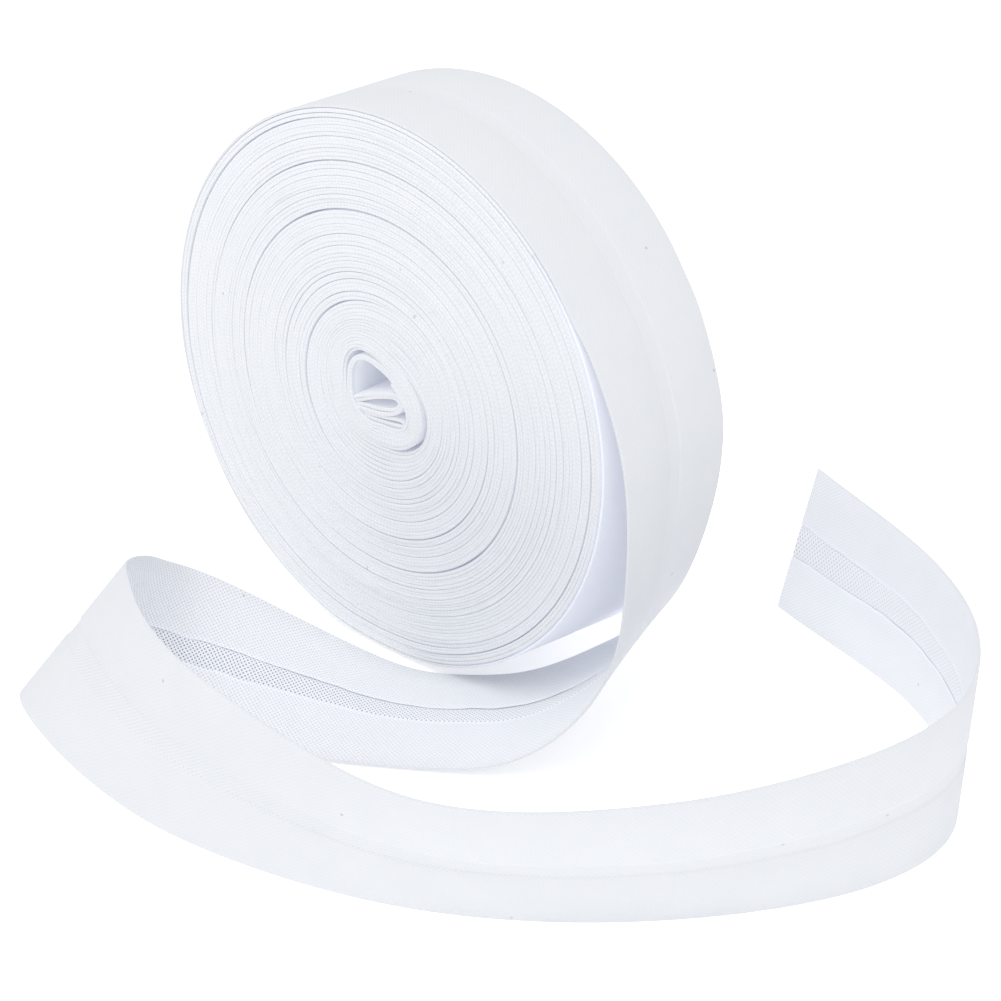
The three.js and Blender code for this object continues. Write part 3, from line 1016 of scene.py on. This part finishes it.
class TAPE_OT_loose_tape(bpy.types.Operator):
    """Adds the outermost turn and the loose tape, folded from one strip of cloth"""

    bl_idname = "tape.loose_tape"
    bl_label = "Outer turn and loose tape"

    def execute(self, context):
        sizes = context.scene.tape_sizes
        (_, wound_near, wound_across, _), _ = turn_stations(sizes, 0, 1)
        near, far = loose_edges(outermost_radius(sizes))
        near = np.vstack([wound_near[:-1], near])
        far = np.vstack([(wound_near + wound_across * TAPE_WIDTH)[:-1], far])
        _, (near, far) = resampled(near, (far,), EDGE_STEP)
        reach = int(SMOOTHING / EDGE_STEP)
        stations = tape_stations(smoothed(near, reach), smoothed(far, reach))
        run = stations[0]
        past_roll = run - (run[-1] - FLAP_ROWS[-1]["along"] * MM)
        rng = np.random.default_rng(sizes.seed + 3)

        def wander(step, least, most):
            knots = np.arange(0.0, run[-1] + 2 * step * MM, step * MM)
            return np.interp(run, knots, rng.uniform(least, most, len(knots))) * MM

        raw_edges = [
            sum(wander(*row) for row in RAW_EDGE_WANDER) + raw_edge(side, past_roll)
            for side in ("near", "far")
        ]
        lifts = [wander(*FLAP_LIFTS[side]) for side in ("near", "far")]
        dip_share = read_rows(DIP_ROWS, "share", past_roll)
        section, cloth, kinds, lit = folded_section(sizes, *raw_edges, *lifts, dip_share)
        materials = {
            "plain": cloth_material("bias_cotton_outside"),
            "inside": cloth_material("bias_cotton_inside"),
            "single": cloth_material("bias_cotton_single"),
            "single_outside": cloth_material("bias_cotton_single_outside"),
        }
        piece = swept("tape_cloth", stations, section, cloth, materials["plain"])
        for name in ("inside", "single", "single_outside"):
            piece.data.materials.append(materials[name])
        order = list(materials)
        per_ring = np.array([order.index(kind) for kind in kinds], dtype=np.int32)
        slots = np.concatenate([np.tile(per_ring, len(run) - 1), [0, 0]]).astype(np.int32)
        piece.data.polygons.foreach_set("material_index", slots)
        # How dark the painted shade in the single layer's openings is, and how strong its relief.
        open_weave_shade_share = read_rows(FLAP_ROWS, "open", past_roll)
        # The painted glow: under the leaving tape, along the raw edges and on the outer turn's inner
        # side.
        under = read_rows(PASSED_LIGHT_ROWS, "share", run)
        wound = read_rows(INNER_LIGHT_ROWS, "share", past_roll)
        inner = np.array([kind in ("inside", "single") for kind in kinds])
        light = PASSED_LIGHT * under[:, None] + EDGE_LIGHT * lit + INNER_LIGHT * wound[:, None] * inner
        self.store(piece, "open_weave_shade", np.repeat(open_weave_shade_share, len(kinds)))
        self.store(piece, "painted_glow", light.ravel())
        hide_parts("loose_tape")
        return {"FINISHED"}

    def store(self, piece, name, values):
        """Keeps a value for each point on the piece's mesh, for its materials to read."""
        attribute = piece.data.attributes.new(name, "FLOAT", "POINT")
        attribute.data.foreach_set("value", values.astype(np.float32))


# The stage


class TAPE_OT_stage(bpy.types.Operator):
    """Adds the floor, the soft lights and the camera"""

    bl_idname = "tape.stage"
    bl_label = "Stage"

    def execute(self, context):
        scene = context.scene
        looks = scene.tape_looks
        bpy.ops.object.select_all(action="DESELECT")
        bpy.ops.mesh.primitive_plane_add(size=FLOOR_SIZE, location=(0.0, 0.0, FLOOR_HEIGHT))
        floor = context.object
        floor.name = "floor"
        floor.data.materials.append(opal_glass(looks))
        aim = Vector(looks.aim)
        for row in LAMPS:
            self.lamp(aim, **row)
        world = bpy.data.worlds.new("studio")
        world.use_nodes = True
        shade = world.node_tree.nodes["Background"]
        shade.inputs["Color"].default_value = (0.98, 0.987, 1.0, 1.0)
        shade.inputs["Strength"].default_value = 0.76
        scene.world = world
        scene.view_settings.view_transform = "Standard"
        self.camera(scene, aim)
        return {"FINISHED"}

    def lamp(self, aim, name, place, size, power):
        """A square soft light at a place, turned to the aim."""
        data = bpy.data.lights.new(name, "AREA")
        data.size = size
        data.energy = power
        lamp = bpy.data.objects.new(name, data)
        lamp.location = place
        lamp.rotation_euler = (Vector(aim) - Vector(place)).to_track_quat("-Z", "Y").to_euler()
        bpy.context.scene.collection.objects.link(lamp)

    def camera(self, scene, aim):
        """The camera at the photograph's angle, distance and lens."""
        turned, raised = math.radians(CAMERA["round"]), math.radians(CAMERA["up"])
        back = Vector(
            (
                math.sin(turned) * math.cos(raised),
                -math.cos(turned) * math.cos(raised),
                math.sin(raised),
            )
        )
        data = bpy.data.cameras.new("camera")
        data.lens = CAMERA["lens"]
        data.sensor_width = CAMERA["sensor"]
        camera = bpy.data.objects.new("camera", data)
        camera.location = aim + back * CAMERA["distance"]
        camera.rotation_euler = (-back).to_track_quat("-Z", "Y").to_euler()
        scene.collection.objects.link(camera)
        scene.camera = camera


class TAPE_PT_panel(bpy.types.Panel):
    """Lists the steps that build the roll"""

    bl_idname = "TAPE_PT_panel"
    bl_label = "Roll of bias tape"
    bl_space_type = "VIEW_3D"
    bl_region_type = "UI"
    bl_category = "Tape"

    def draw(self, context):
        for group in (context.scene.tape_sizes, context.scene.tape_looks):
            for name in group.__annotations__:
                self.layout.prop(group, name)
        for operator in OPERATORS:
            self.layout.operator(operator.bl_idname)


OPERATORS = (TAPE_OT_stage, TAPE_OT_wound_turns, TAPE_OT_core_folds, TAPE_OT_loose_tape)
GROUPS = (TapeSizes, TapeLooks)


def register():
    for kind in (*GROUPS, *OPERATORS, TAPE_PT_panel):
        bpy.utils.register_class(kind)
    bpy.types.Scene.tape_sizes = PointerProperty(type=TapeSizes)
    bpy.types.Scene.tape_looks = PointerProperty(type=TapeLooks)


def unregister():
    del bpy.types.Scene.tape_looks
    del bpy.types.Scene.tape_sizes
    for kind in reversed((*GROUPS, *OPERATORS, TAPE_PT_panel)):
        bpy.utils.unregister_class(kind)


def main():
    register()
    bpy.ops.tape.stage()
    bpy.ops.tape.wound_turns()
    bpy.ops.tape.core_folds()
    bpy.ops.tape.loose_tape()


if __name__ == "__main__":
    main()
